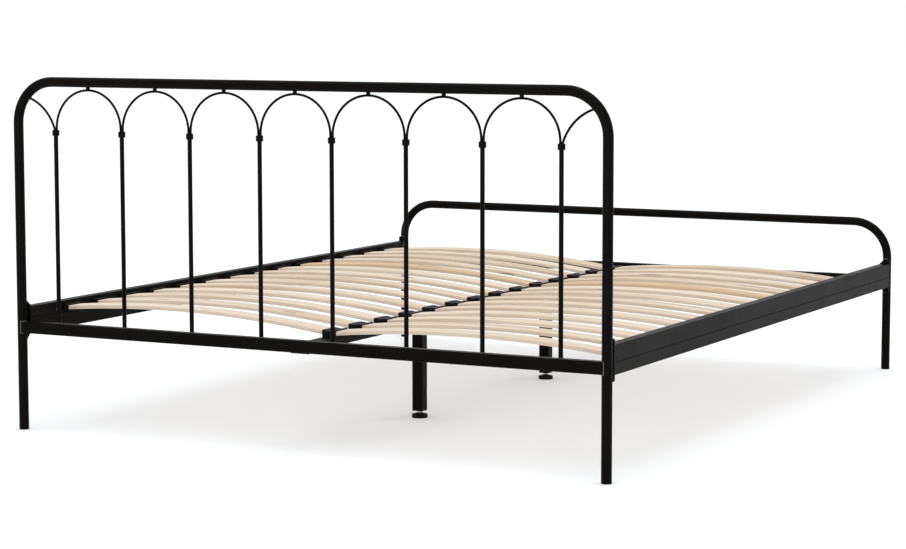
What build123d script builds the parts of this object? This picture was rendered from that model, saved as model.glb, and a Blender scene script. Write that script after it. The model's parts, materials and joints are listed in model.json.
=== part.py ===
from build123d import *
import os

# A double bed frame in black powder-coated steel with two rows of sprung wooden slats.
# Millimetres. +Z is up, X runs across the bed and +Y runs from the headboard to the foot.
# The origin is on the floor, at the centre of the bed. The two side rails are one and the same
# pair of stacked tubes, but the left one is the other way up, so the slats of its side sit higher.

# ---- driving dimensions -------------------------------------------------------------------
POST_X = 817.0          # post axes, left and right of the centre line
HALF_LENGTH = 1025.0    # post axes, towards the head and the foot
TUBE_R = 12.5           # bent tubes of both ends
TUBE_WALL = 1.5
HEAD_BEND_R = 105.0     # bends at the top of the tubes, at their axis
FOOT_BEND_R = 105.0
HEAD_TOP = 891.0        # axis of the top of the headboard tube
FOOT_TOP = 439.0        # axis of the top of the footboard tube

END_RAIL_DEPTH = 24.0   # flat cross rails of the headboard and the footboard
END_RAIL_HEIGHT = 30.0
END_RAIL_Z = 250.0      # their undersides
SECTION_WALL = 1.5      # wall of every rectangular tube
SECTION_CORNER = 2.2    # its outer corner radius

SIDE_RAIL_WIDTH = 28.0
SIDE_RAIL_OUTER = 829.0  # outer faces of the side rails
SIDE_RAIL_Z = 247.0     # their undersides
SLIM_TUBE_HEIGHT = 30.0  # the tube that holds the slats: the lower one on the right side
TALL_TUBE_HEIGHT = 40.0
PEG_LINE = 19.5         # height of the slat holders' pegs, from the slim tube's outer face

ROD_COUNT = 8
ROD_PITCH = 200.4
ROD_R = 5.5
ROD_TOP = 763.0
DIMPLE_BALL_R = 4.0
DIMPLE_DEPTH = 1.3
DIMPLE_Z = (317.0, 386.0, 525.0, 664.0, 733.0)

WIRE_R = 3.0            # round wire of the arches
WIRE_OFFSET = 3.1       # a wire's axis beside the axis of its rod
ARCH_TOP = 871.4        # axis of an arch at its crown
END_ARCH_R = 122.0      # the short arches at both ends of the row
END_KNEE_R = 9.0        # their bend just over the collar
COLLAR_R = 9.0
COLLAR_BORE_R = 6.25
COLLAR_Z = 756.0
COLLAR_HEIGHT = 14.5

PLATE_NEAR = 12.0       # corner plates, welded to the posts: their two faces from the post axis
PLATE_FAR = 17.0
PLATE_X = (799.5, 829.0)
PLATE_Z = (232.0, 331.0)
PLATE_CHAMFER = 14.0
PLATE_STEP_X = 805.0    # inboard edge of their narrower lower part
PLATE_STEP_Z = 272.0
END_PLATE_THICKNESS = 3.0  # plates that close the side rails, against the corner plates
HOOK_Z = (266.0, 303.0)    # headed studs that carry the side rails
HOOK_R = 4.0
HOOK_HEAD_R = 6.0
HOOK_HEAD_LENGTH = 3.0
KEYHOLE_DROP = 8.5      # from a stud down to the middle of the wide part of its keyhole
KEYHOLE_SLOT_R = 4.2
KEYHOLE_WIDE_R = 6.6

BEAM_WIDTH = 40.0
BEAM_HEIGHT = 20.0
BEAM_Z = 248.0          # underside
BEAM_END_GAP = 16.0     # end of the beam, from the axis of the end rail
HANGER_THICKNESS = 3.0
HANGER_WIDTH = 50.0
HANGER_REACH = 62.0
SMALL_BOLT_R = 3.0
SMALL_HEAD_R = 5.5

LEG_Y = (-398.0, 379.0)
LEG_SIDE = 30.0
LEG_BOTTOM = 21.0
LEG_PLATE = (40.0, 72.0, 3.0)
LEG_BOLT_Y = 26.0       # bolts of the leg's plate, from the leg's axis
PLUG_FLANGE = 2.5
PLUG_DEPTH = 24.0
STUD_R = 4.95
STUD_BORE_R = 5.0
STUD_BOTTOM = 4.0
STUD_TOP = 62.0
PAD_R = 21.0
PAD_SIDE = 9.5
PAD_TOP = 13.0
PAD_NECK_R = 8.5

FOOT_CAP_RIM = 3.0      # plastic ends of the four posts
FOOT_CAP_DEPTH = 18.0

SLAT_ROWS = 14
SLAT_PITCH = 130.6
SLAT_FIRST_Y = -841.5   # middle of the row nearest the headboard
SLAT_WIDTH = 57.0
SLAT_THICKNESS = 10.0
SLAT_EDGE_R = 2.0
SLAT_OUTER_X = 797.0    # a slat's end by the side rail
SLAT_INNER = (4.0, 276.8)  # its end over the centre beam, X and Z of the middle of its thickness
SLAT_BOW = 23.8         # rise of its middle above the straight line between its ends
SLOT_GAP = 0.25         # play of a slat in its holder

HOLDER_WIDTH = 61.0     # along the bed
SIDE_HOLDER_DEPTH = 17.0
SIDE_HOLDER_HEIGHT = 18.0
SIDE_HOLDER_RISE = 1.0  # middle of a side holder and its slat, above the peg
CENTRE_HOLDER_WIDTH = 40.0
CENTRE_HOLDER_TOP = 286.0
HOLDER_FILLET = 2.5
PEG_R = 4.0
PEG_HOLE_R = 4.1
PEG_LENGTH = 7.0

# ---- sizes worked out from them -----------------------------------------------------------
SIDE_RAIL_TOP = SIDE_RAIL_Z + SLIM_TUBE_HEIGHT + TALL_TUBE_HEIGHT
RAIL_GAP = PLATE_FAR + END_PLATE_THICKNESS  # end of a side rail's tubes, from the post axis
SIDE_RAIL_INNER = SIDE_RAIL_OUTER - SIDE_RAIL_WIDTH
SIDE_RAIL_X = SIDE_RAIL_OUTER - SIDE_RAIL_WIDTH / 2
END_RAIL_TOP = END_RAIL_Z + END_RAIL_HEIGHT
BEAM_TOP = BEAM_Z + BEAM_HEIGHT
SLAT_Y = [SLAT_FIRST_Y + SLAT_PITCH * row for row in range(SLAT_ROWS)]
ROD_X = [ROD_PITCH * (i - (ROD_COUNT - 1) / 2) for i in range(ROD_COUNT)]
ENDS = {"head": -1, "foot": 1}
SIDES = {"left": -1, "right": 1}
PEG_Z = {-1: SIDE_RAIL_TOP - PEG_LINE, 1: SIDE_RAIL_Z + PEG_LINE}

os.makedirs("parts", exist_ok=True)


def save(part, name):
    """Writes one node's STEP file."""
    part.label = name
    export_step(part, f"parts/{name}.step")


# ---- bent end tubes -----------------------------------------------------------------------
def bent_tube(y, top, bend, radius, wall):
    """An upside-down U of round tube from one floor cap over to the other. No wall gives a solid bar."""
    with BuildPart() as tube:
        with BuildLine(Plane.XZ.offset(-y)) as path:
            FilletPolyline(
                (-POST_X, FOOT_CAP_RIM), (-POST_X, top), (POST_X, top), (POST_X, FOOT_CAP_RIM),
                radius=bend,
            )
        with BuildSketch(Plane.XY.offset(FOOT_CAP_RIM)):
            with Locations((-POST_X, y)):
                Circle(radius)
                if wall:
                    Circle(radius - wall, mode=Mode.SUBTRACT)
        sweep(path=path.wires()[0])
    return tube.part


def post_foot_caps():
    """Plastic plugs that close the lower ends of the four posts."""
    with BuildPart() as caps:
        with GridLocations(2 * POST_X, 2 * HALF_LENGTH, 2, 2):
            Cylinder(TUBE_R, FOOT_CAP_RIM, align=(Align.CENTER, Align.CENTER, Align.MIN))
            Cylinder(
                TUBE_R - TUBE_WALL - 0.1, FOOT_CAP_DEPTH,
                align=(Align.CENTER, Align.CENTER, Align.MIN),
            )
        chamfer(caps.edges().group_by(Axis.Z)[0], 0.8)
    return caps.part


# ---- rectangular tubes --------------------------------------------------------------------
def tube_section(width, height):
    """Draws the ring section of a rectangular tube in the sketch that is open."""
    RectangleRounded(width, height, SECTION_CORNER)
    RectangleRounded(
        width - 2 * SECTION_WALL, height - 2 * SECTION_WALL, SECTION_CORNER - SECTION_WALL,
        mode=Mode.SUBTRACT,
    )


def end_rail(y, post_tube):
    """The flat cross rail between two posts, its ends cut to the round of the posts."""
    with BuildPart() as rail:
        with BuildSketch(Plane.YZ.offset(-POST_X)):
            with Locations((y, END_RAIL_Z + END_RAIL_HEIGHT / 2)):
                tube_section(END_RAIL_DEPTH, END_RAIL_HEIGHT)
        extrude(amount=2 * POST_X)
        add(post_tube, mode=Mode.SUBTRACT)
    return rail.part


def side_rail_tube(side, bottom, height, peg_holes):
    """One of the two tubes that are stacked to make a side rail."""
    run = 2 * (HALF_LENGTH - RAIL_GAP)
    with BuildPart() as rail:
        with BuildSketch(Plane.XZ.offset(run / 2)):
            with Locations((side * SIDE_RAIL_X, bottom + height / 2)):
                tube_section(SIDE_RAIL_WIDTH, height)
        extrude(amount=-run)
        if peg_holes:
            with Locations(*[(side * SIDE_RAIL_INNER, y, PEG_Z[side]) for y in SLAT_Y]):
                Cylinder(PEG_HOLE_R, 4 * SECTION_WALL, rotation=(0, 90, 0), mode=Mode.SUBTRACT)
    return rail.part


def centre_beam():
    """The flat tube down the middle of the bed, with a hole for the peg of each slat holder."""
    run = 2 * (HALF_LENGTH - BEAM_END_GAP)
    with BuildPart() as beam:
        with BuildSketch(Plane.XZ.offset(run / 2)):
            with Locations((0, BEAM_Z + BEAM_HEIGHT / 2)):
                tube_section(BEAM_WIDTH, BEAM_HEIGHT)
        extrude(amount=-run)
        with Locations(*[(0, y, BEAM_TOP) for y in SLAT_Y]):
            Cylinder(PEG_HOLE_R, 4 * SECTION_WALL, mode=Mode.SUBTRACT)
        with Locations(*[(0, y, BEAM_Z) for y in small_bolt_places()]):
            Cylinder(SMALL_BOLT_R + 0.2, 4 * SECTION_WALL, mode=Mode.SUBTRACT)
    return beam.part


# ---- headboard filling --------------------------------------------------------------------
def rod(x):
    """An upright rod with small pressed dimples on its front and back."""
    with BuildPart() as bar:
        with Locations((x, -HALF_LENGTH, END_RAIL_TOP)):
            Cylinder(ROD_R, ROD_TOP - END_RAIL_TOP, align=(Align.CENTER, Align.CENTER, Align.MIN))
        ball_y = ROD_R - DIMPLE_DEPTH + DIMPLE_BALL_R
        for face in (-1, 1):
            with Locations(*[(x, -HALF_LENGTH + face * ball_y, z) for z in DIMPLE_Z]):
                Sphere(DIMPLE_BALL_R, mode=Mode.SUBTRACT)
    return bar.part


def swept_wire(path, start):
    """Round wire along a path that begins straight up from start, which is (X, Z)."""
    with BuildSketch(Plane.XY.offset(start[1])) as section:
        with Locations((start[0], -HALF_LENGTH)):
            Circle(WIRE_R)
    sweep(sections=section.sketch, path=path.wires()[0])


def arch(left_rod_x):
    """One full arch, from the collar of one rod to that of the next."""
    left, right = left_rod_x + WIRE_OFFSET, left_rod_x + ROD_PITCH - WIRE_OFFSET
    spring = ARCH_TOP - (right - left) / 2
    with BuildPart() as wire:
        with BuildLine(Plane.XZ.offset(HALF_LENGTH)) as path:
            Line((left, ROD_TOP), (left, spring))
            ThreePointArc((left, spring), ((left + right) / 2, ARCH_TOP), (right, spring))
            Line((right, spring), (right, ROD_TOP))
        swept_wire(path, (left, ROD_TOP))
    return wire.part


def left_end_arch(post_tube):
    """The shorter wire from the outermost collar up to the bend of the tube."""
    x = ROD_X[0] - WIRE_OFFSET
    with BuildPart() as wire:
        with BuildLine(Plane.XZ.offset(HALF_LENGTH)) as path:
            stem = Line((x, ROD_TOP), (x, COLLAR_Z + COLLAR_HEIGHT + 0.5))
            knee = JernArc(stem @ 1, stem % 1, radius=END_KNEE_R, arc_size=19)
            JernArc(knee @ 1, knee % 1, radius=END_ARCH_R, arc_size=58)
        swept_wire(path, (x, ROD_TOP))
        add(post_tube, mode=Mode.SUBTRACT)
    return wire.part.solids().sort_by(Axis.Z)[0]


def collars():
    """Short bands that hold the foot of two wires on the top of each rod."""
    with BuildPart() as bands:
        with Locations(*[(x, -HALF_LENGTH, COLLAR_Z) for x in ROD_X]):
            Cylinder(COLLAR_R, COLLAR_HEIGHT, align=(Align.CENTER, Align.CENTER, Align.MIN))
        fillet(bands.edges().filter_by(GeomType.CIRCLE), 1.6)
        with Locations(*[(x, -HALF_LENGTH, COLLAR_Z) for x in ROD_X]):
            Cylinder(
                COLLAR_BORE_R, COLLAR_HEIGHT, align=(Align.CENTER, Align.CENTER, Align.MIN),
                mode=Mode.SUBTRACT,
            )
    return bands.part


def arch_studs(post_tube, arches):
    """Little welded spacers between the crown of each arch and the tube above it."""
    with BuildPart() as studs:
        with Locations(*[(x + ROD_PITCH / 2, -HALF_LENGTH, ARCH_TOP + 5.0) for x in ROD_X[:-1]]):
            Box(11, 4.6, 8)
        fillet(studs.edges().filter_by(Axis.Z), 2.2)
        add(post_tube, mode=Mode.SUBTRACT)
        for crown in arches:
            add(crown, mode=Mode.SUBTRACT)
    biggest_first = studs.part.solids().sort_by(SortBy.VOLUME, reverse=True)
    return Compound(children=list(biggest_first[:len(arches)]))


# ---- corner joints ------------------------------------------------------------------------
def corner_plate(side, end, post_tube):
    """The chamfered plate welded across a post. It is a little taller than the side rail."""
    (inner, outer), (bottom, top) = PLATE_X, PLATE_Z
    with BuildPart() as plate:
        with BuildSketch(Plane.XZ.offset(-end * (HALF_LENGTH - PLATE_NEAR))):
            with BuildLine():
                Polyline(
                    (side * outer, bottom + 3), (side * (outer - 3), bottom),
                    (side * (inner + PLATE_CHAMFER), bottom),
                    (side * PLATE_STEP_X, bottom + PLATE_CHAMFER), (side * PLATE_STEP_X, PLATE_STEP_Z),
                    (side * inner, PLATE_STEP_Z + 3), (side * inner, top - PLATE_CHAMFER),
                    (side * (inner + PLATE_CHAMFER), top), (side * (outer - 3), top),
                    (side * outer, top - 3), close=True,
                )
            make_face()
        extrude(amount=end * (PLATE_FAR - PLATE_NEAR))
        add(post_tube, mode=Mode.SUBTRACT)
    return plate.part


def hook_places():
    """Side, end and Z of each of the eight headed studs."""
    return [(side, end, z) for side in SIDES.values() for end in ENDS.values() for z in HOOK_Z]


def rail_hook_studs():
    """Headed studs on the corner plates. Their heads are inside the hollow side rails."""
    shank = END_PLATE_THICKNESS + 0.3
    with BuildPart() as studs:
        for side, end, z in hook_places():
            plate_face = -end * (HALF_LENGTH - PLATE_FAR)
            with BuildSketch(Plane.XZ.offset(plate_face)):
                with Locations((side * SIDE_RAIL_X, z)):
                    Circle(HOOK_R)
            extrude(amount=end * shank)
            with BuildSketch(Plane.XZ.offset(plate_face + end * shank)):
                with Locations((side * SIDE_RAIL_X, z)):
                    Circle(HOOK_HEAD_R)
            extrude(amount=end * HOOK_HEAD_LENGTH)
    return studs.part


def rail_end_plates():
    """Plates on the ends of the side rails. Their keyholes hang on the headed studs."""
    with BuildPart() as plates:
        for side in SIDES.values():
            for end in ENDS.values():
                with BuildSketch(Plane.XZ.offset(-end * (HALF_LENGTH - PLATE_FAR))):
                    with Locations((side * SIDE_RAIL_X, (SIDE_RAIL_Z + SIDE_RAIL_TOP) / 2)):
                        RectangleRounded(SIDE_RAIL_WIDTH, SIDE_RAIL_TOP - SIDE_RAIL_Z, SECTION_CORNER)
                    for z in HOOK_Z:
                        with Locations((side * SIDE_RAIL_X, z)):
                            Circle(KEYHOLE_SLOT_R, mode=Mode.SUBTRACT)
                        with Locations((side * SIDE_RAIL_X, z - KEYHOLE_DROP / 2)):
                            Rectangle(2 * KEYHOLE_SLOT_R, KEYHOLE_DROP, mode=Mode.SUBTRACT)
                        with Locations((side * SIDE_RAIL_X, z - KEYHOLE_DROP)):
                            Circle(KEYHOLE_WIDE_R, mode=Mode.SUBTRACT)
                extrude(amount=end * END_PLATE_THICKNESS)
    return plates.part


# ---- centre support -----------------------------------------------------------------------
def small_bolt_places():
    """Y of the small bolts along the beam: one in each hanger and two in each leg's plate."""
    hanger = [end * (HALF_LENGTH - HANGER_REACH + 16) for end in ENDS.values()]
    legs = [y + shift for y in LEG_Y for shift in (-LEG_BOLT_Y, LEG_BOLT_Y)]
    return hanger + legs


def beam_hangers():
    """Angle brackets on the inner faces of the end rails, under the ends of the beam."""
    face = HALF_LENGTH - END_RAIL_DEPTH / 2
    under = BEAM_Z - HANGER_THICKNESS
    with BuildPart() as hangers:
        for end in ENDS.values():
            with BuildSketch(Plane.YZ.offset(-HANGER_WIDTH / 2)):
                with BuildLine():
                    Polyline(
                        (end * face, under), (end * (HALF_LENGTH - HANGER_REACH), under),
                        (end * (HALF_LENGTH - HANGER_REACH), BEAM_Z),
                        (end * (face - HANGER_THICKNESS), BEAM_Z),
                        (end * (face - HANGER_THICKNESS), END_RAIL_TOP - 3),
                        (end * face, END_RAIL_TOP - 3), close=True,
                    )
                make_face()
            extrude(amount=HANGER_WIDTH)
        with Locations(*[(0, y, under) for y in small_bolt_places()[:2]]):
            Cylinder(SMALL_BOLT_R + 0.2, 4 * HANGER_THICKNESS, mode=Mode.SUBTRACT)
    return hangers.part


def centre_leg(y):
    """A square leg with a flat plate at its top that bolts to the underside of the beam."""
    plate_x, plate_y, plate_z = LEG_PLATE
    top = BEAM_Z - plate_z
    with BuildPart() as leg:
        with BuildSketch(Plane.XY.offset(LEG_BOTTOM)):
            with Locations((0, y)):
                tube_section(LEG_SIDE, LEG_SIDE)
        extrude(amount=top - LEG_BOTTOM)
        with BuildSketch(Plane.XY.offset(top)):
            with Locations((0, y)):
                RectangleRounded(plate_x, plate_y, 4)
            with Locations((0, y - LEG_BOLT_Y), (0, y + LEG_BOLT_Y)):
                Circle(SMALL_BOLT_R + 0.2, mode=Mode.SUBTRACT)
        extrude(amount=plate_z)
    return leg.part


def small_bolts():
    """Bolts that go up into the beam through the hangers and the legs' plates."""
    with BuildPart() as bolts:
        for y in small_bolt_places():
            with BuildSketch(Plane.XY.offset(BEAM_Z - HANGER_THICKNESS)):
                with Locations((0, y)):
                    RegularPolygon(SMALL_HEAD_R, 6)
            extrude(amount=-4)
            with BuildSketch(Plane.XY.offset(BEAM_Z - HANGER_THICKNESS)):
                with Locations((0, y)):
                    Circle(SMALL_BOLT_R)
            extrude(amount=12)
    return bolts.part


def leg_plugs():
    """Plastic inserts in the lower ends of the centre legs, threaded for the levelling studs."""
    inside = LEG_SIDE - 2 * SECTION_WALL - 0.2
    with BuildPart() as plugs:
        with BuildSketch(Plane.XY.offset(LEG_BOTTOM - PLUG_FLANGE)):
            with Locations(*[(0, y) for y in LEG_Y]):
                RectangleRounded(LEG_SIDE, LEG_SIDE, SECTION_CORNER)
                Circle(STUD_BORE_R, mode=Mode.SUBTRACT)
        extrude(amount=PLUG_FLANGE)
        with BuildSketch(Plane.XY.offset(LEG_BOTTOM)):
            with Locations(*[(0, y) for y in LEG_Y]):
                RectangleRounded(inside, inside, SECTION_CORNER)
                Circle(STUD_BORE_R, mode=Mode.SUBTRACT)
        extrude(amount=PLUG_DEPTH)
    return plugs.part


def levelling_stud(y):
    """The screw that sets the height of a centre leg."""
    with BuildPart() as stud:
        with Locations((0, y, STUD_BOTTOM)):
            Cylinder(STUD_R, STUD_TOP - STUD_BOTTOM, align=(Align.CENTER, Align.CENTER, Align.MIN))
        chamfer(stud.edges().group_by(Axis.Z)[-1], 1.0)
    return stud.part


def levelling_pad(y):
    """The round plastic foot that turns on the levelling stud."""
    with BuildPart() as pad:
        with BuildSketch(Plane.XZ.offset(-y)):
            with BuildLine():
                Polyline(
                    (0, 0), (PAD_R - 1, 0), (PAD_R, 1), (PAD_R, PAD_SIDE - 1.2),
                    (PAD_R - 1.2, PAD_SIDE), (PAD_NECK_R + 1.5, PAD_TOP - 1.2),
                    (PAD_NECK_R, PAD_TOP), (STUD_BORE_R, PAD_TOP),
                    (STUD_BORE_R, STUD_BOTTOM), (0, STUD_BOTTOM), close=True,
                )
            make_face()
        revolve(axis=Axis((0, y, 0), (0, 0, 1)))
    return pad.part


# ---- slats and their holders --------------------------------------------------------------
def slat_solid(side, grow):
    """A bowed slat centred on Y = 0. With grow it is the pocket that a holder keeps for it."""
    x_out, z_out = SLAT_OUTER_X, PEG_Z[side] + SIDE_HOLDER_RISE
    x_in, z_in = SLAT_INNER
    x_mid, z_mid = (x_out + x_in) / 2, (z_out + z_in) / 2 + SLAT_BOW
    with BuildPart() as slat:
        with BuildLine(Plane.XZ) as path:
            bow = ThreePointArc((side * x_out, z_out), (side * x_mid, z_mid), (side * x_in, z_in))
            if grow:
                Line((bow @ 0) - (bow % 0) * grow, bow @ 0)
                Line(bow @ 1, (bow @ 1) + (bow % 1) * grow)
        wire = path.wires()[0]
        with BuildSketch(Plane(origin=wire @ 0, x_dir=(0, 1, 0), z_dir=wire % 0)):
            RectangleRounded(SLAT_WIDTH + 2 * grow, SLAT_THICKNESS + 2 * grow, SLAT_EDGE_R)
        sweep(path=wire)
    return slat.part


def slat_row(slats, y):
    """The left and the right slat of one row."""
    return Compound(children=[slat.moved(Location((0, y, 0))) for slat in slats])


def in_every_row(holder):
    """The same holder once in each row of slats."""
    return Compound(children=[holder.moved(Location((0, y, 0))) for y in SLAT_Y])


def side_holder(side, pocket):
    """A plastic cap for the outer end of a slat, with a peg that plugs into the side rail."""
    back = side * SIDE_RAIL_INNER
    with BuildPart() as holder:
        middle = PEG_Z[side] + SIDE_HOLDER_RISE
        with Locations((back - side * SIDE_HOLDER_DEPTH / 2, 0, middle)):
            Box(SIDE_HOLDER_DEPTH, HOLDER_WIDTH, SIDE_HOLDER_HEIGHT)
        fillet(holder.edges().filter_by(Axis.X), HOLDER_FILLET)
        add(pocket, mode=Mode.SUBTRACT)
        with Locations((back + side * PEG_LENGTH / 2, 0, PEG_Z[side])):
            Cylinder(PEG_R, PEG_LENGTH, rotation=(0, 90, 0))
    return holder.part.solids().sort_by(SortBy.VOLUME)[-1]


def centre_holder(pockets):
    """A double plastic holder for the inner ends of two slats, with a peg down into the beam."""
    with BuildPart() as holder:
        with BuildSketch(Plane.XZ.offset(-HOLDER_WIDTH / 2)):
            with BuildLine():
                half = CENTRE_HOLDER_WIDTH / 2
                Polyline(
                    (-half, BEAM_TOP), (half, BEAM_TOP), (half, CENTRE_HOLDER_TOP),
                    (half - 8, CENTRE_HOLDER_TOP), (0, CENTRE_HOLDER_TOP - 2),
                    (8 - half, CENTRE_HOLDER_TOP), (-half, CENTRE_HOLDER_TOP), close=True,
                )
            make_face()
        extrude(amount=HOLDER_WIDTH)
        upright_corners = holder.edges().filter_by(Axis.Z)
        fillet(upright_corners, HOLDER_FILLET)
        for pocket in pockets:
            add(pocket, mode=Mode.SUBTRACT)
        with Locations((0, 0, BEAM_TOP - PEG_LENGTH / 2)):
            Cylinder(PEG_R, PEG_LENGTH)
    return holder.part.solids().sort_by(SortBy.VOLUME)[-1]


# ---- build and write every node -----------------------------------------------------------
head_core = bent_tube(-HALF_LENGTH, HEAD_TOP, HEAD_BEND_R, TUBE_R, 0)
foot_core = bent_tube(HALF_LENGTH, FOOT_TOP, FOOT_BEND_R, TUBE_R, 0)
cores = {"head": head_core, "foot": foot_core}

save(bent_tube(-HALF_LENGTH, HEAD_TOP, HEAD_BEND_R, TUBE_R, TUBE_WALL), "headboard_tube")
save(bent_tube(HALF_LENGTH, FOOT_TOP, FOOT_BEND_R, TUBE_R, TUBE_WALL), "footboard_tube")
save(end_rail(-HALF_LENGTH, head_core), "headboard_rail")
save(end_rail(HALF_LENGTH, foot_core), "footboard_rail")
save(post_foot_caps(), "post_foot_caps")

for number, rod_x in enumerate(ROD_X, start=1):
    save(rod(rod_x), f"headboard_rod_{number}")
all_arches = [arch(rod_x) for rod_x in ROD_X[:-1]]
for number, wire_arch in enumerate(all_arches, start=1):
    save(wire_arch, f"headboard_arch_{number}")
end_arch = left_end_arch(head_core)
save(Compound(children=[end_arch, end_arch.mirror(Plane.YZ)]), "headboard_end_arches")
save(collars(), "rod_collars")
save(arch_studs(head_core, all_arches), "arch_studs")

for side_name, side_sign in SIDES.items():
    slim_below = side_name == "right"
    slim_z = SIDE_RAIL_Z if slim_below else SIDE_RAIL_TOP - SLIM_TUBE_HEIGHT
    tall_z = SIDE_RAIL_TOP - TALL_TUBE_HEIGHT if slim_below else SIDE_RAIL_Z
    slim_level, tall_level = ("lower", "upper") if slim_below else ("upper", "lower")
    save(
        side_rail_tube(side_sign, slim_z, SLIM_TUBE_HEIGHT, True),
        f"side_rail_{side_name}_{slim_level}",
    )
    save(
        side_rail_tube(side_sign, tall_z, TALL_TUBE_HEIGHT, False),
        f"side_rail_{side_name}_{tall_level}",
    )
    for end_name, end_sign in ENDS.items():
        save(
            corner_plate(side_sign, end_sign, cores[end_name]),
            f"corner_plate_{end_name}_{side_name}",
        )
save(rail_hook_studs(), "rail_hook_studs")
save(rail_end_plates(), "rail_end_plates")

save(centre_beam(), "centre_beam")
save(beam_hangers(), "beam_hangers")
save(small_bolts(), "beam_bolts")
save(leg_plugs(), "centre_leg_plugs")
for number, leg_y in enumerate(LEG_Y, start=1):
    save(centre_leg(leg_y), f"centre_leg_{number}")
    save(levelling_stud(leg_y), f"levelling_stud_{number}")
    save(levelling_pad(leg_y), f"levelling_pad_{number}")

both_slats = [slat_solid(side, 0) for side in SIDES.values()]
slat_pockets = [slat_solid(side, SLOT_GAP) for side in SIDES.values()]
for number, row_y in enumerate(SLAT_Y, start=1):
    save(slat_row(both_slats, row_y), f"slat_row_{number:02d}")
for side_name, side_sign, pocket in zip(SIDES, SIDES.values(), slat_pockets):
    save(in_every_row(side_holder(side_sign, pocket)), f"slat_holders_{side_name}")
save(in_every_row(centre_holder(slat_pockets)), "slat_holders_centre")
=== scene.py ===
import json
import math
import random

import bmesh
import bpy
from mathutils import Matrix, Vector


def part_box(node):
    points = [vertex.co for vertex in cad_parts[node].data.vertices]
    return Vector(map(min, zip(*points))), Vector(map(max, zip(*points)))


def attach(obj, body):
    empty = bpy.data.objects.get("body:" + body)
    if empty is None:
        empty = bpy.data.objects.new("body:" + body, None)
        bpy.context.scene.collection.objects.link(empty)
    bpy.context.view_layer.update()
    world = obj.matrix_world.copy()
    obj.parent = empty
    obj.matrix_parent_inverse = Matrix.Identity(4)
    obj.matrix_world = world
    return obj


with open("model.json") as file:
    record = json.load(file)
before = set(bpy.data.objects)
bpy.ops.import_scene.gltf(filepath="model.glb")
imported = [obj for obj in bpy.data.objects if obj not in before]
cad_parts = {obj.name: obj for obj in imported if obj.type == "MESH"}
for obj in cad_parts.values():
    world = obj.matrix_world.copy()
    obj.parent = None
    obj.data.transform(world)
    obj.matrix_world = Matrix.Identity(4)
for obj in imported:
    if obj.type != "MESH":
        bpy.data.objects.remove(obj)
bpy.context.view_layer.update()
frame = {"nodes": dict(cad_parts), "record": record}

# A double bed frame in black powder-coated steel, with two rows of pale sprung slats.
# Metres, in the row frame: the origin is on the floor under the middle of the bed, +Z is up
# and +Y runs from the headboard to the foot. The CAD nodes carry the shapes. This script gives
# them their surfaces and adds what CAD leaves out: weld beads, screw threads and seams.

# ---- sizes shared with the CAD model --------------------------------------------------------
POST_X = 0.817
POST_R = 0.0125
END_Y = 1.025
END_RAIL_HALF_DEPTH = 0.012
END_RAIL_Z = (0.250, 0.280)
ROD_COUNT = 8
ROD_PITCH = 0.2004
ROD_R = 0.0055
DIMPLE_Z = (0.317, 0.386, 0.525, 0.664, 0.733)
WIRE_R = 0.003
PLATE_Z = (0.232, 0.331)
PLATE_NEAR = 0.012
SLAT_THICKNESS = 0.010
SLAT_PLIES = 7
# the middle of a slat's thickness, X and Z: at the side rail, at mid-span and over the beam.
# The left side rail is the other way up, so its slats start higher than those of the right.
SLAT_BOW = {
    -1: ((0.797, 0.2985), (0.4005, 0.31145), (0.004, 0.2768)),
    1: ((0.797, 0.2675), (0.4005, 0.29595), (0.004, 0.2768)),
}
LEG_Y = (-0.398, 0.379)
LEG_HALF = 0.015
LEG_TOP = 0.245         # underside of its plate
STUD_R = 0.00495
THREAD_PITCH = 0.0015
PAD_TOP = 0.013

# ---- small parts that only this script makes --------------------------------------------------
DIMPLE_LIP_R = 0.0006        # lip beside each dimple: its bead, its reach up and down
DIMPLE_LIP_REACH = 0.0032
ROD_WELD_R = 0.0013
RAIL_WELD_R = 0.0012
PLATE_END_WELD_R = 0.0016
PLATE_BACK_WELD_R = 0.0013
PLATE_BACK_WELD_X = 0.0062   # beads down the back of a corner plate, from the post axis
END_ARCH_WELD_R = 0.0010
LEG_WELD_R = 0.0014
THREAD_R = 0.00035
THREAD_TURNS = 9

# ---- looks ----------------------------------------------------------------------------------
PAINT_COLOUR = (0.0020, 0.0016, 0.0012)
PAINT_WORN = (0.0062, 0.0050, 0.0038)
PLASTIC_COLOUR = (0.0030, 0.0030, 0.0030)
ZINC_COLOUR = (0.50, 0.51, 0.53)
BIRCH_LIGHT = (0.640, 0.545, 0.440)
BIRCH_DARK = (0.460, 0.340, 0.230)
BIRCH_EDGE = (0.520, 0.405, 0.300)
BIRCH_ORANGE = (0.600, 0.400, 0.215)
BIRCH_KNOT = (0.110, 0.070, 0.045)
ORANGE_ROWS = (9,)      # counted from 0 at the headboard
FLOOR_COLOUR = (0.870, 0.885, 0.900)

# ---- camera ---------------------------------------------------------------------------------
CAMERA_PLACE = (3.112, -6.206, 1.082)
CAMERA_YAW = 27.417     # degrees from +Y towards -X
CAMERA_PITCH = -6.09
CAMERA_ROLL = -0.04
CAMERA_LENS = 100.28    # on a sensor 36 mm wide

random.seed(7)


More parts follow.
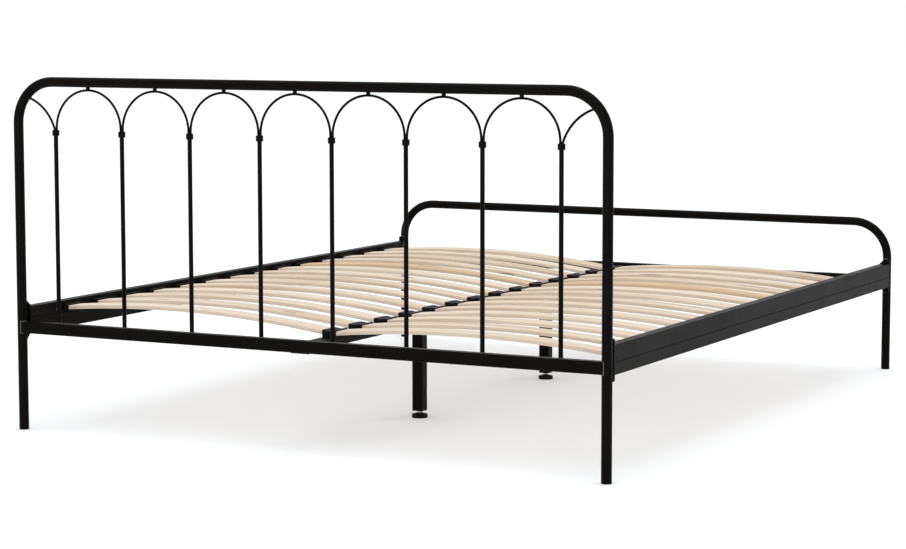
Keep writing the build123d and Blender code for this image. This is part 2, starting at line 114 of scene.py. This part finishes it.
# ---- shader helpers -------------------------------------------------------------------------
class Shader:
    """A procedural material: a Principled shader, with short calls for the nodes in front of it."""

    def __init__(self, name):
        self.material = bpy.data.materials.new(name)
        self.material.use_nodes = True
        self.tree = self.material.node_tree
        self.bsdf = self.tree.nodes["Principled BSDF"]
        self.place = self.node("ShaderNodeTexCoord").outputs["Object"]

    def node(self, kind, **settings):
        made = self.tree.nodes.new(kind)
        for key, value in settings.items():
            setattr(made, key, value)
        return made

    def link(self, source, target):
        self.tree.links.new(source, target)

    def feed(self, target, value):
        """Puts a number, a colour or another node's output on an input."""
        if isinstance(value, bpy.types.NodeSocket):
            self.link(value, target)
        else:
            target.default_value = value

    def stretched(self, scale, offset=(0, 0, 0)):
        """The place on the object, stretched along its axes."""
        mapping = self.node("ShaderNodeMapping")
        self.link(self.place, mapping.inputs["Vector"])
        mapping.inputs["Scale"].default_value = scale
        mapping.inputs["Location"].default_value = offset
        return mapping.outputs["Vector"]

    def noise(self, vector, scale, detail=3.0, rough=0.5, distortion=0.0):
        made = self.node("ShaderNodeTexNoise")
        self.feed(made.inputs["Vector"], vector)
        made.inputs["Scale"].default_value = scale
        made.inputs["Detail"].default_value = detail
        made.inputs["Roughness"].default_value = rough
        made.inputs["Distortion"].default_value = distortion
        return made.outputs["Fac"]

    def math(self, operation, first, second=0.0, third=0.0):
        made = self.node("ShaderNodeMath", operation=operation)
        for socket, value in zip(made.inputs, (first, second, third)):
            self.feed(socket, value)
        return made.outputs[0]

    def remap(self, value, low, high, to_low, to_high):
        made = self.node("ShaderNodeMapRange")
        for name, number in zip(
            ("Value", "From Min", "From Max", "To Min", "To Max"), (value, low, high, to_low, to_high)
        ):
            self.feed(made.inputs[name], number)
        return made.outputs["Result"]

    def mix(self, amount, first, second):
        made = self.node("ShaderNodeMix", data_type="RGBA")
        self.feed(made.inputs["Factor"], amount)
        for name, colour in (("A", first), ("B", second)):
            socket = next(s for s in made.inputs if s.name == name and s.type == "RGBA")
            self.feed(socket, colour if isinstance(colour, bpy.types.NodeSocket) else (*colour, 1.0))
        return next(s for s in made.outputs if s.type == "RGBA")

    def bump(self, height, depth, strength=1.0, before=None):
        made = self.node("ShaderNodeBump")
        made.inputs["Strength"].default_value = strength
        made.inputs["Distance"].default_value = depth
        self.link(height, made.inputs["Height"])
        if before:
            self.link(before, made.inputs["Normal"])
        return made.outputs["Normal"]

    def set(self, **inputs):
        for name, value in inputs.items():
            self.feed(self.bsdf.inputs[name.replace("_", " ")], value)


def powder_coat():
    """Satin black powder coat: fine orange peel, a little dust and wear that is paler."""
    coat = Shader("powder_coat")
    peel = coat.noise(coat.place, 420.0, detail=2.0)
    grain = coat.noise(coat.place, 1600.0, detail=2.0)
    clouds = coat.noise(coat.place, 9.0, detail=5.0, rough=0.6)
    specks = coat.remap(coat.noise(coat.place, 700.0, detail=1.0), 0.66, 0.78, 0.0, 1.0)
    worn = coat.math("MULTIPLY_ADD", specks, 0.35, coat.remap(clouds, 0.35, 0.75, 0.0, 0.35))
    normal = coat.bump(peel, 0.00010, 0.55)
    coat.set(
        Base_Color=coat.mix(worn, PAINT_COLOUR, PAINT_WORN),
        Roughness=coat.remap(clouds, 0.3, 0.7, 0.38, 0.46),
        Normal=coat.bump(grain, 0.00004, 0.5, before=normal),
    )
    coat.bsdf.inputs["IOR"].default_value = 1.13
    coat.bsdf.inputs["Specular IOR Level"].default_value = 0.45
    coat.bsdf.inputs["Specular Tint"].default_value = (1.0, 0.95, 0.89, 1.0)
    return coat.material


def weld_paint():
    """The same paint over a weld bead: rippled, and glossier where it runs thick."""
    weld = Shader("weld_paint")
    ripple = weld.noise(weld.place, 900.0, detail=3.0)
    weld.set(
        Base_Color=weld.mix(weld.remap(ripple, 0.4, 0.7, 0.0, 1.0), PAINT_COLOUR, PAINT_WORN),
        Roughness=weld.remap(ripple, 0.3, 0.7, 0.22, 0.36),
        Normal=weld.bump(ripple, 0.0004, 0.8),
    )
    weld.bsdf.inputs["IOR"].default_value = 1.8
    weld.bsdf.inputs["Specular IOR Level"].default_value = 0.7
    return weld.material


def black_plastic():
    """Moulded plastic with a fine spark-eroded grain."""
    plastic = Shader("black_plastic")
    grain = plastic.noise(plastic.place, 1400.0, detail=3.0)
    clouds = plastic.noise(plastic.place, 30.0, detail=3.0)
    plastic.set(
        Base_Color=plastic.mix(plastic.remap(clouds, 0.3, 0.7, 0.0, 1.0), PLASTIC_COLOUR, PAINT_WORN),
        Roughness=plastic.remap(grain, 0.3, 0.7, 0.46, 0.62),
        Normal=plastic.bump(grain, 0.00008, 0.6),
    )
    plastic.bsdf.inputs["Specular IOR Level"].default_value = 0.07
    return plastic.material


def zinc():
    """Zinc-plated steel of the screws."""
    plate = Shader("zinc_plate")
    clouds = plate.noise(plate.place, 220.0, detail=4.0)
    plate.set(
        Base_Color=plate.mix(plate.remap(clouds, 0.35, 0.65, 0.0, 1.0), ZINC_COLOUR, (0.36, 0.36, 0.35)),
        Roughness=plate.remap(clouds, 0.3, 0.7, 0.28, 0.45),
        Normal=plate.bump(clouds, 0.00005, 0.5),
    )
    plate.bsdf.inputs["Metallic"].default_value = 1.0
    return plate.material


def circle_through(first, middle, last):
    """Centre and radius of the circle through three points."""
    (x1, y1), (x2, y2), (x3, y3) = first, middle, last
    d = 2 * (x1 * (y2 - y3) + x2 * (y3 - y1) + x3 * (y1 - y2))
    s1, s2, s3 = x1 * x1 + y1 * y1, x2 * x2 + y2 * y2, x3 * x3 + y3 * y3
    centre_x = (s1 * (y2 - y3) + s2 * (y3 - y1) + s3 * (y1 - y2)) / d
    centre_y = (s1 * (x3 - x2) + s2 * (x1 - x3) + s3 * (x2 - x1)) / d
    return (centre_x, centre_y), math.dist((centre_x, centre_y), first)


def birch(row):
    """Rotary-cut birch veneer: long soft grain on the faces, and thin plies along the edges."""
    wood = Shader(f"birch_{row + 1:02d}")
    shift = (random.uniform(0, 9), random.uniform(0, 9), random.uniform(0, 9))
    tone = random.uniform(-0.25, 0.30)
    split = wood.node("ShaderNodeSeparateXYZ")
    wood.link(wood.place, split.inputs[0])
    x, y, z = split.outputs
    side = wood.math("SIGN", x)
    across = wood.math("MULTIPLY_ADD", side, 3.7, y)

    # height inside the slat, from 0 at its underside to 1 at its top
    levels = []
    for bow in SLAT_BOW.values():
        (centre_x, centre_z), radius = circle_through(*bow)
        run = wood.math("SUBTRACT", wood.math("ABSOLUTE", x), centre_x)
        rise = wood.math("SUBTRACT", z, centre_z)
        square = wood.math("ADD", wood.math("MULTIPLY", run, run), wood.math("MULTIPLY", rise, rise))
        low, high = radius - SLAT_THICKNESS / 2, radius + SLAT_THICKNESS / 2
        levels.append(wood.remap(wood.math("SQRT", square), low, high, 0.0, 1.0))
    on_left = wood.math("LESS_THAN", x, 0.0)
    on_right = wood.math("GREATER_THAN", x, 0.0)
    inside = wood.math(
        "ADD", wood.math("MULTIPLY", levels[0], on_left), wood.math("MULTIPLY", levels[1], on_right)
    )

    flat = wood.node("ShaderNodeCombineXYZ")
    for socket, value in zip(flat.inputs, (x, across, inside)):
        wood.feed(socket, value)

    def grain(along, over, detail, rough=0.55, distortion=0.0):
        mapping = wood.node("ShaderNodeMapping")
        wood.link(flat.outputs[0], mapping.inputs["Vector"])
        mapping.inputs["Scale"].default_value = (along, over, 0.6)
        mapping.inputs["Location"].default_value = shift
        return wood.noise(mapping.outputs["Vector"], 1.0, detail, rough, distortion)

    broad = grain(1.6, 34.0, 4.0, distortion=0.6)
    figure = grain(3.0, 120.0, 5.0, distortion=0.3)
    pores = grain(26.0, 900.0, 2.0)
    fibres = grain(9.0, 420.0, 4.0)
    streaks = wood.remap(broad, 0.36, 0.64, -0.10, 0.72)
    amount = wood.math("ADD", streaks, wood.remap(figure, 0.3, 0.7, -0.16, 0.30))
    amount = wood.math("ADD", amount, wood.remap(fibres, 0.3, 0.7, -0.12, 0.14))
    amount = wood.math("ADD", amount, tone)
    amount = wood.math("MINIMUM", wood.math("MAXIMUM", amount, 0.0), 1.0)
    pale, deep = (BIRCH_DARK, BIRCH_ORANGE) if row in ORANGE_ROWS else (BIRCH_LIGHT, BIRCH_DARK)
    face = wood.mix(amount, pale, deep)
    dark_pores = wood.remap(pores, 0.66, 0.78, 0.0, 0.35)
    face = wood.mix(dark_pores, face, BIRCH_EDGE)

    # a few small dark knots, drawn out along the grain
    knots = grain(7.0, 42.0, 1.0, rough=0.3)
    face = wood.mix(wood.remap(knots, 0.745, 0.775, 0.0, 0.8), face, BIRCH_KNOT)

    # every second ply shows its end grain, which is browner, where the surface stands upright
    ply = wood.math("FRACT", wood.math("MULTIPLY", inside, SLAT_PLIES / 2))
    band = wood.remap(wood.math("ABSOLUTE", wood.math("SUBTRACT", ply, 0.5)), 0.20, 0.30, 0.75, 0.0)
    facing = wood.node("ShaderNodeSeparateXYZ")
    wood.link(wood.node("ShaderNodeNewGeometry").outputs["Normal"], facing.inputs[0])
    upright = wood.remap(wood.math("ABSOLUTE", facing.outputs[2]), 0.45, 0.75, 1.0, 0.0)
    edge = wood.mix(band, face, BIRCH_EDGE)
    wood.set(
        Base_Color=wood.mix(upright, face, edge),
        Roughness=wood.remap(figure, 0.3, 0.7, 0.50, 0.66),
        Normal=wood.bump(pores, 0.00010, 0.5, before=wood.bump(figure, 0.00012, 0.35)),
    )
    wood.bsdf.inputs["Specular IOR Level"].default_value = 0.35
    return wood.material


# ---- mesh helpers ---------------------------------------------------------------------------
def new_piece(name, mesh_data, material, body, smooth=True):
    """Makes an object of a bmesh, gives it its surface and lets it ride on a CAD body."""
    mesh = bpy.data.meshes.new(name)
    mesh_data.to_mesh(mesh)
    mesh_data.free()
    for polygon in mesh.polygons:
        polygon.use_smooth = smooth
    piece = bpy.data.objects.new(name, mesh)
    bpy.context.scene.collection.objects.link(piece)
    piece.data.materials.append(material)
    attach(piece, body)
    return piece


def add_tube(target, points, radius, closed=False, sides=10, ripple=0.0, ripple_length=0.0022):
    """Adds a round bead along points to a bmesh. Ripple swells it in even steps, as a weld is laid."""
    points = [Vector(p) for p in points]
    count = len(points)
    lengths = [0.0]
    for before, after in zip(points, points[1:]):
        lengths.append(lengths[-1] + (after - before).length)
    rings = []
    side_way = None
    for i, point in enumerate(points):
        ahead = points[(i + 1) % count] if closed or i + 1 < count else point
        behind = points[i - 1] if closed or i > 0 else point
        way = (ahead - behind).normalized()
        if side_way is None:
            side_way = way.orthogonal().normalized()
        side_way = (side_way - way * side_way.dot(way)).normalized()
        other_way = way.cross(side_way)
        swell = 1.0 + ripple * math.sin(2 * math.pi * lengths[i] / ripple_length)
        if not closed:
            swell *= math.sqrt(max(0.12, 1 - (2 * i / (count - 1) - 1) ** 6))
        ring = []
        for k in range(sides):
            turn = 2 * math.pi * k / sides
            offset = side_way * math.cos(turn) + other_way * math.sin(turn)
            ring.append(target.verts.new(point + offset * radius * swell))
        rings.append(ring)
    pairs = list(zip(rings, rings[1:]))
    if closed:
        last, first = rings[-1], rings[0]
        shift = min(range(sides), key=lambda s: (first[s].co - last[0].co).length)
        pairs.append((last, first[shift:] + first[:shift]))
    for a, b in pairs:
        for k in range(sides):
            target.faces.new((a[k], a[(k + 1) % sides], b[(k + 1) % sides], b[k]))
    if not closed:
        target.faces.new(list(reversed(rings[0])))
        target.faces.new(rings[-1])


def ring_points(centre, axis, radius, count=48):
    """Points of a circle about an axis."""
    axis = Vector(axis).normalized()
    side_way = axis.orthogonal().normalized()
    other_way = axis.cross(side_way)
    return [
        Vector(centre) + (side_way * math.cos(t) + other_way * math.sin(t)) * radius
        for t in (2 * math.pi * k / count for k in range(count))
    ]


# ---- surfaces of the CAD nodes --------------------------------------------------------------
paint = powder_coat()
plastic = black_plastic()
plated = zinc()
weld = weld_paint()
surfaces = {"black_powder_coat": paint, "black_plastic": plastic, "zinc_steel": plated}
slots = {entry["node"]: entry["material_slot"] for entry in frame["record"]["subparts"]}

for name, node in frame["nodes"].items():
    node.data.materials.clear()
    if slots[name] == "birch_plywood":
        node.data.materials.append(birch(int(name.rsplit("_", 1)[1]) - 1))
    else:
        node.data.materials.append(surfaces[slots[name]])

# ---- weld beads -----------------------------------------------------------------------------
rod_places = [ROD_PITCH * (i - (ROD_COUNT - 1) / 2) for i in range(ROD_COUNT)]


def rod_dimple_lips():
    """The glossy lip that the press leaves beside each dimple of the rods."""
    lips = bmesh.new()
    for x in rod_places:
        for z in DIMPLE_Z:
            for face in (-1, 1):
                points = []
                for step in range(9):
                    t = math.radians(-62 + 15.5 * step)
                    around = math.radians(-26 - 10 * math.cos(t))
                    points.append((
                        x + (ROD_R + 0.0001) * math.sin(around),
                        -END_Y + face * (ROD_R + 0.0001) * math.cos(around),
                        z + DIMPLE_LIP_REACH * math.sin(t),
                    ))
                add_tube(lips, points, DIMPLE_LIP_R, sides=8)
    new_piece("rod_dimple_lips", lips, weld, "frame")


def rod_welds():
    """A bead round the foot of each rod."""
    beads = bmesh.new()
    for x in rod_places:
        foot = (x, -END_Y, END_RAIL_Z[1] + 0.0003)
        ring = ring_points(foot, (0, 0, 1), ROD_R + 0.0004)
        add_tube(beads, ring, ROD_WELD_R, closed=True, ripple=0.16)
    new_piece("rod_welds", beads, weld, "frame")


def end_rail_welds():
    """A bead round each end of both cross rails, where they are cut to the round of the posts."""
    low, high = END_RAIL_Z
    half = END_RAIL_HALF_DEPTH
    steps = 14
    outline = [(half * (2 * i / steps - 1), low) for i in range(steps)]
    outline += [(half, low + (high - low) * i / steps) for i in range(steps)]
    outline += [(-half * (2 * i / steps - 1), high) for i in range(steps)]
    outline += [(-half, high - (high - low) * i / steps) for i in range(steps)]
    beads = bmesh.new()
    for end in (-1, 1):
        for side in (-1, 1):
            points = [
                (side * (POST_X - math.sqrt(POST_R ** 2 - depth ** 2)), end * END_Y + depth, z)
                for depth, z in outline
            ]
            add_tube(beads, points, RAIL_WELD_R, closed=True, ripple=0.14)
    new_piece("end_rail_welds", beads, weld, "frame")


def corner_plate_welds():
    """Short beads across the top and the bottom of each corner plate, and two down its back."""
    beads = bmesh.new()
    for end in (-1, 1):
        for side in (-1, 1):
            for z in PLATE_Z:
                points = [
                    (side * POST_X + POST_R * math.sin(t), end * (END_Y - POST_R * math.cos(t)), z)
                    for t in (math.radians(a) for a in range(-30, 31, 4))
                ]
                add_tube(beads, points, PLATE_END_WELD_R, ripple=0.14)
            for shift in (-PLATE_BACK_WELD_X, PLATE_BACK_WELD_X):
                depth = PLATE_NEAR - 0.0004
                points = [
                    (side * POST_X + shift, end * (END_Y - depth), z / 1000)
                    for z in range(284, 326, 2)
                ]
                add_tube(beads, points, PLATE_BACK_WELD_R, ripple=0.14)
    new_piece("corner_plate_welds", beads, weld, "frame")


def end_arch_welds():
    """A bead where each end arch runs into the bend of the tube."""
    low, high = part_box("headboard_end_arches")
    beads = bmesh.new()
    for side in (-1, 1):
        middle = (side * (high[0] - 0.0012), -END_Y, high[2] - 0.0026)
        ring = ring_points(middle, (side * 0.94, 0, 0.34), WIRE_R)
        add_tube(beads, ring, END_ARCH_WELD_R, closed=True, ripple=0.14)
    new_piece("end_arch_welds", beads, weld, "frame")


def leg_welds():
    """A bead round the top of each centre leg, under its plate."""
    beads = bmesh.new()
    for y in LEG_Y:
        corners = [(-1, -1), (1, -1), (1, 1), (-1, 1)]
        points = []
        for (ax, ay), (bx, by) in zip(corners, corners[1:] + corners[:1]):
            for i in range(14):
                t = i / 14
                points.append((
                    LEG_HALF * (ax + (bx - ax) * t), y + LEG_HALF * (ay + (by - ay) * t), LEG_TOP - 0.0004,
                ))
        add_tube(beads, points, LEG_WELD_R, closed=True, ripple=0.14)
    new_piece("leg_welds", beads, weld, "frame")


def stud_threads():
    """The visible turns of each levelling screw's thread."""
    steps = 20
    for number, y in enumerate(LEG_Y, start=1):
        thread = bmesh.new()
        points = []
        for i in range(THREAD_TURNS * steps + 1):
            turn = 2 * math.pi * i / steps
            height = PAD_TOP + 0.0002 + THREAD_PITCH * i / steps
            points.append((STUD_R * math.cos(turn), y + STUD_R * math.sin(turn), height))
        add_tube(thread, points, THREAD_R, sides=6)
        new_piece(f"stud_thread_{number}", thread, plated, f"levelling_screw_{number}")


rod_dimple_lips()
rod_welds()
end_rail_welds()
corner_plate_welds()
end_arch_welds()
leg_welds()
stud_threads()


# ---- floor, light and camera ----------------------------------------------------------------
def add_floor():
    """A plain pale studio floor."""
    floor_mesh = bmesh.new()
    bmesh.ops.create_grid(floor_mesh, x_segments=2, y_segments=2, size=60.0)
    mesh = bpy.data.meshes.new("floor")
    floor_mesh.to_mesh(mesh)
    floor_mesh.free()
    floor = bpy.data.objects.new("floor", mesh)
    bpy.context.scene.collection.objects.link(floor)
    pale = Shader("studio_floor")
    clouds = pale.noise(pale.place, 0.8, detail=2.0)
    pale.set(
        Base_Color=pale.mix(clouds, FLOOR_COLOUR, tuple(c * 0.985 for c in FLOOR_COLOUR)),
        Roughness=pale.remap(clouds, 0.3, 0.7, 0.75, 0.85),
    )
    pale.bsdf.inputs["Specular IOR Level"].default_value = 0.1
    mesh.materials.append(pale.material)


def add_softbox(name, place, aim, width, height, power):
    """A large rectangular studio light."""
    data = bpy.data.lights.new(name, "AREA")
    data.shape = "RECTANGLE"
    data.size = width
    data.size_y = height
    data.energy = power
    lamp = bpy.data.objects.new(name, data)
    lamp.location = place
    lamp.rotation_euler = (Vector(aim) - Vector(place)).to_track_quat("-Z", "Y").to_euler()
    bpy.context.scene.collection.objects.link(lamp)


def add_sky_sun(strength, width):
    """Light from straight above, so wide that its shadows have no edge."""
    data = bpy.data.lights.new("sky_sun", "SUN")
    data.energy = strength
    data.angle = math.radians(width)
    bpy.context.scene.collection.objects.link(bpy.data.objects.new("sky_sun", data))


def add_world(strength):
    """An even white studio all round."""
    world = bpy.data.worlds.new("studio")
    world.use_nodes = True
    background = world.node_tree.nodes["Background"]
    background.inputs["Color"].default_value = (1.0, 1.0, 1.0, 1.0)
    background.inputs["Strength"].default_value = strength
    bpy.context.scene.world = world


def add_camera():
    """The camera behind the headboard, a little to the right."""
    data = bpy.data.cameras.new("camera")
    data.lens = CAMERA_LENS
    data.sensor_width = 36.0
    data.sensor_fit = "HORIZONTAL"
    data.clip_end = 300.0
    camera = bpy.data.objects.new("camera", data)
    camera.location = CAMERA_PLACE
    yaw, pitch, roll = (math.radians(a) for a in (CAMERA_YAW, CAMERA_PITCH, CAMERA_ROLL))
    turn = (
        Matrix.Rotation(yaw, 4, "Z") @ Matrix.Rotation(math.pi / 2 + pitch, 4, "X")
        @ Matrix.Rotation(roll, 4, "Z")
    )
    camera.rotation_euler = turn.to_euler()
    bpy.context.scene.collection.objects.link(camera)
    bpy.context.scene.camera = camera


add_floor()
add_world(1.0)
add_sky_sun(0.8, 60.0)
add_softbox("overhead", (0.6, 0.4, 4.2), (0, 0, 0), 5.0, 4.0, 30.0)
add_softbox("front_fill", (1.2, -7.5, 1.6), (0, 0, 0.3), 3.5, 2.0, 100.0)
add_camera()
bpy.context.scene.view_settings.view_transform = "Standard"
